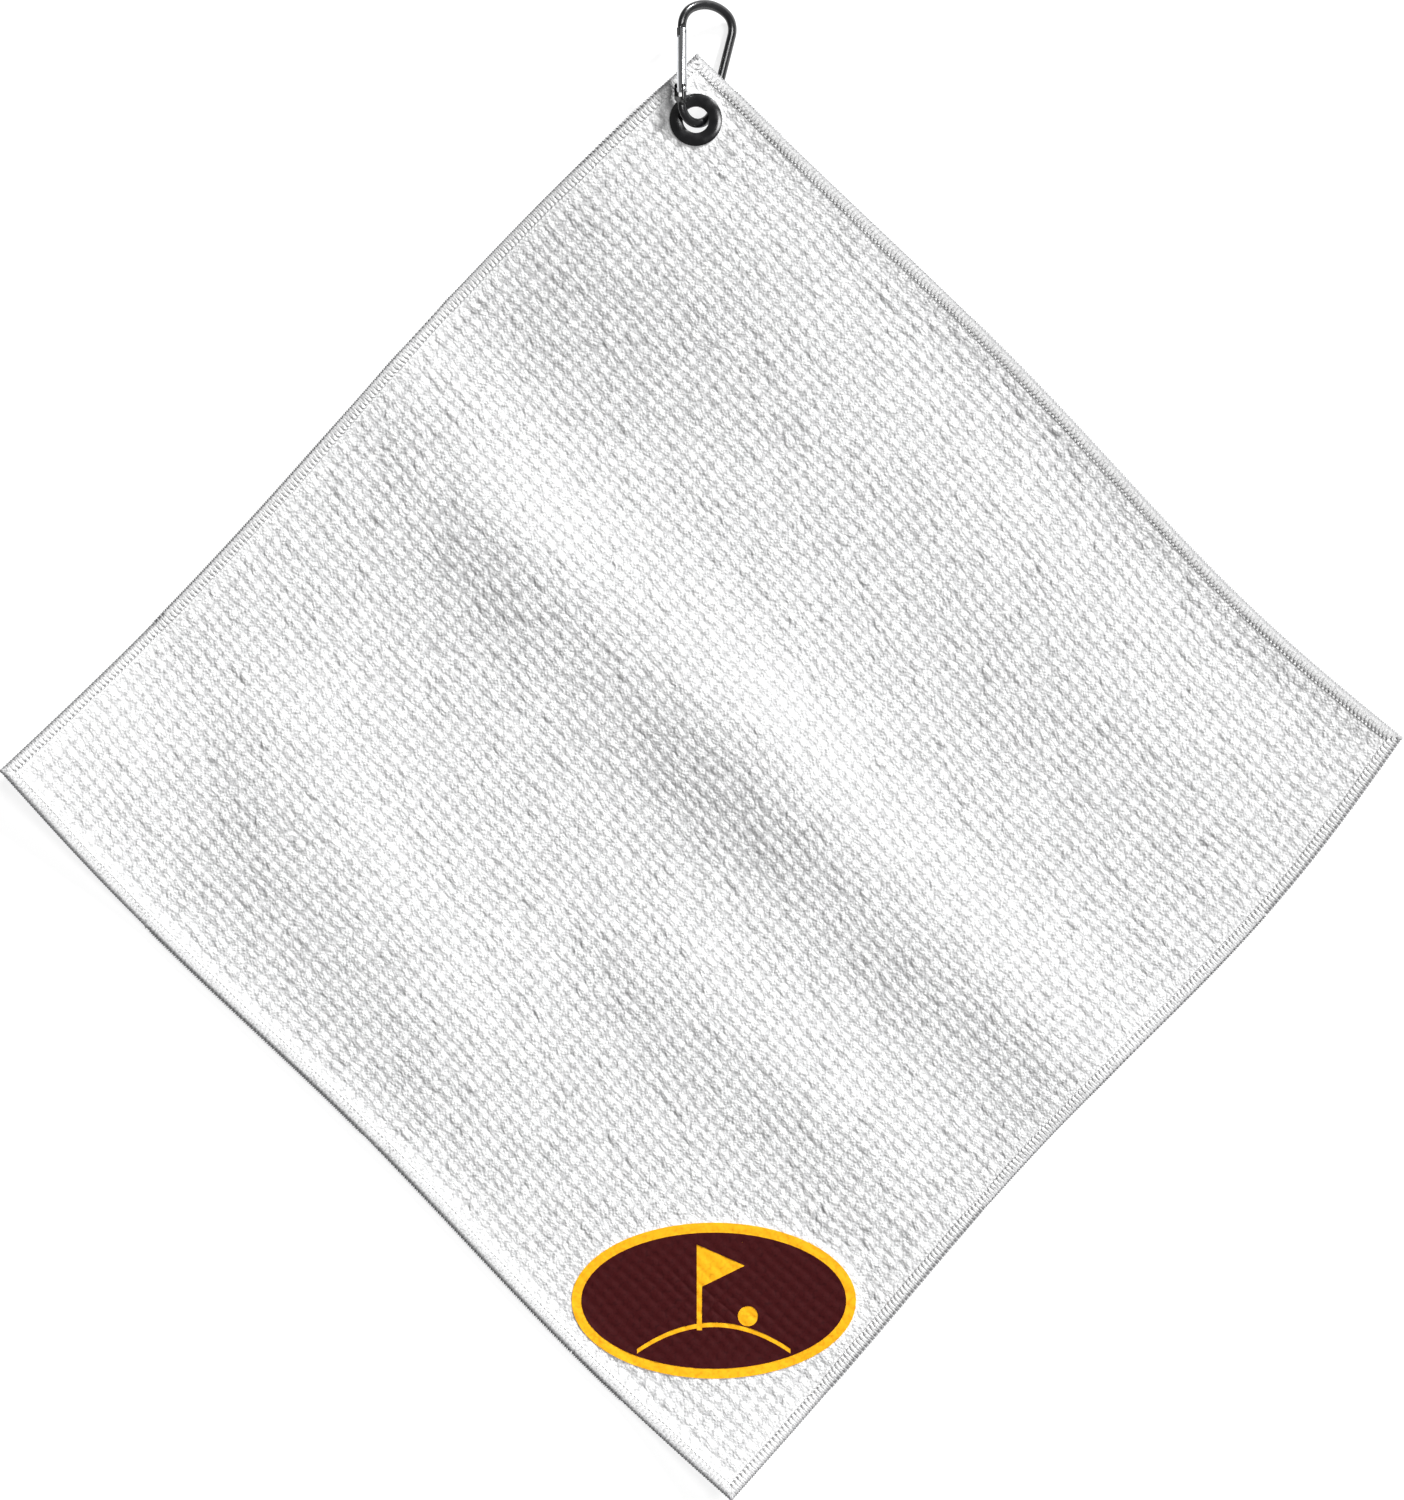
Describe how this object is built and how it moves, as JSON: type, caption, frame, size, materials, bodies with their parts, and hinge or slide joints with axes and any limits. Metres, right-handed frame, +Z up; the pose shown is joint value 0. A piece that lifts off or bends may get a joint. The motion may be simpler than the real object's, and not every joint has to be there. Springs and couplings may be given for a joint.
{
  "type": "golf towel",
  "caption": "Square waffle-weave golf towel laid flat as a diamond, with overlocked edges, a corner eyelet holding a small spring-gate carabiner, and a two-colour oval badge.",
  "frame": {"origin": "underside of the cloth where the towel's two diagonals cross", "axes": "+Z up off the surface the towel lies on, +Y along the diagonal towards the eyelet corner, +X to the right as seen from above"},
  "size_m": [0.565, 0.6047, 0.0196],
  "materials": {
    "cloth": "white waffle-knit microfibre",
    "thread": "white overlock thread",
    "eyelet": "gloss black enamel on pressed metal",
    "bar": "gloss black anodised",
    "steel": "bright drawn steel",
    "badge_gold": "gold heat-transfer film",
    "badge_maroon": "maroon heat-transfer film"
  },
  "bodies": {
    "towel": {"towel_cloth": "cloth", "upper_looper_upper_left": "thread", "lower_looper_upper_left": "thread", "needle_thread_upper_left": "thread", "upper_looper_upper_right": "thread", "lower_looper_upper_right": "thread", "needle_thread_upper_right": "thread", "upper_looper_lower_left": "thread", "lower_looper_lower_left": "thread", "needle_thread_lower_left": "thread", "upper_looper_lower_right": "thread", "lower_looper_lower_right": "thread", "needle_thread_lower_right": "thread", "grommet": "eyelet", "grommet_washer": "eyelet", "emblem_base_film": "badge_gold", "emblem_top_film": "badge_maroon"},
    "carabiner": {"carabiner_body": "bar", "hinge_pin": "steel"},
    "gate": {"gate": "steel", "latch_pin": "steel", "gate_spring": "steel"},
    "plunger": {"gate_plunger": "steel"}
  },
  "joints": [
    {"name": "carabiner_swing", "type": "hinge", "parent": "towel", "child": "carabiner", "pos_m": [-0.00723, 0.25569, 0.00962], "axis": [0, 0, 1], "range_deg": [-50, 50]},
    {"name": "gate_hinge", "type": "hinge", "parent": "carabiner", "child": "gate", "pos_m": [-0.01354, 0.26771, 0.01566], "axis": [-0.6111, 0.075, -0.788], "range_deg": [0, 28], "stiffness_Nm_per_rad": 0.02, "springref_deg": -17.19},
    {"name": "plunger_slide", "type": "slide", "parent": "gate", "child": "plunger", "axis": [-0.0006, 0.9955, 0.0952], "range_m": [-0.0005, 0.0015], "deforming": ["gate_spring"]}
  ],
  "couplings": [
    {"joint": "plunger_slide", "follows": "gate_hinge", "m_per_rad": 0.0018}
  ]
}
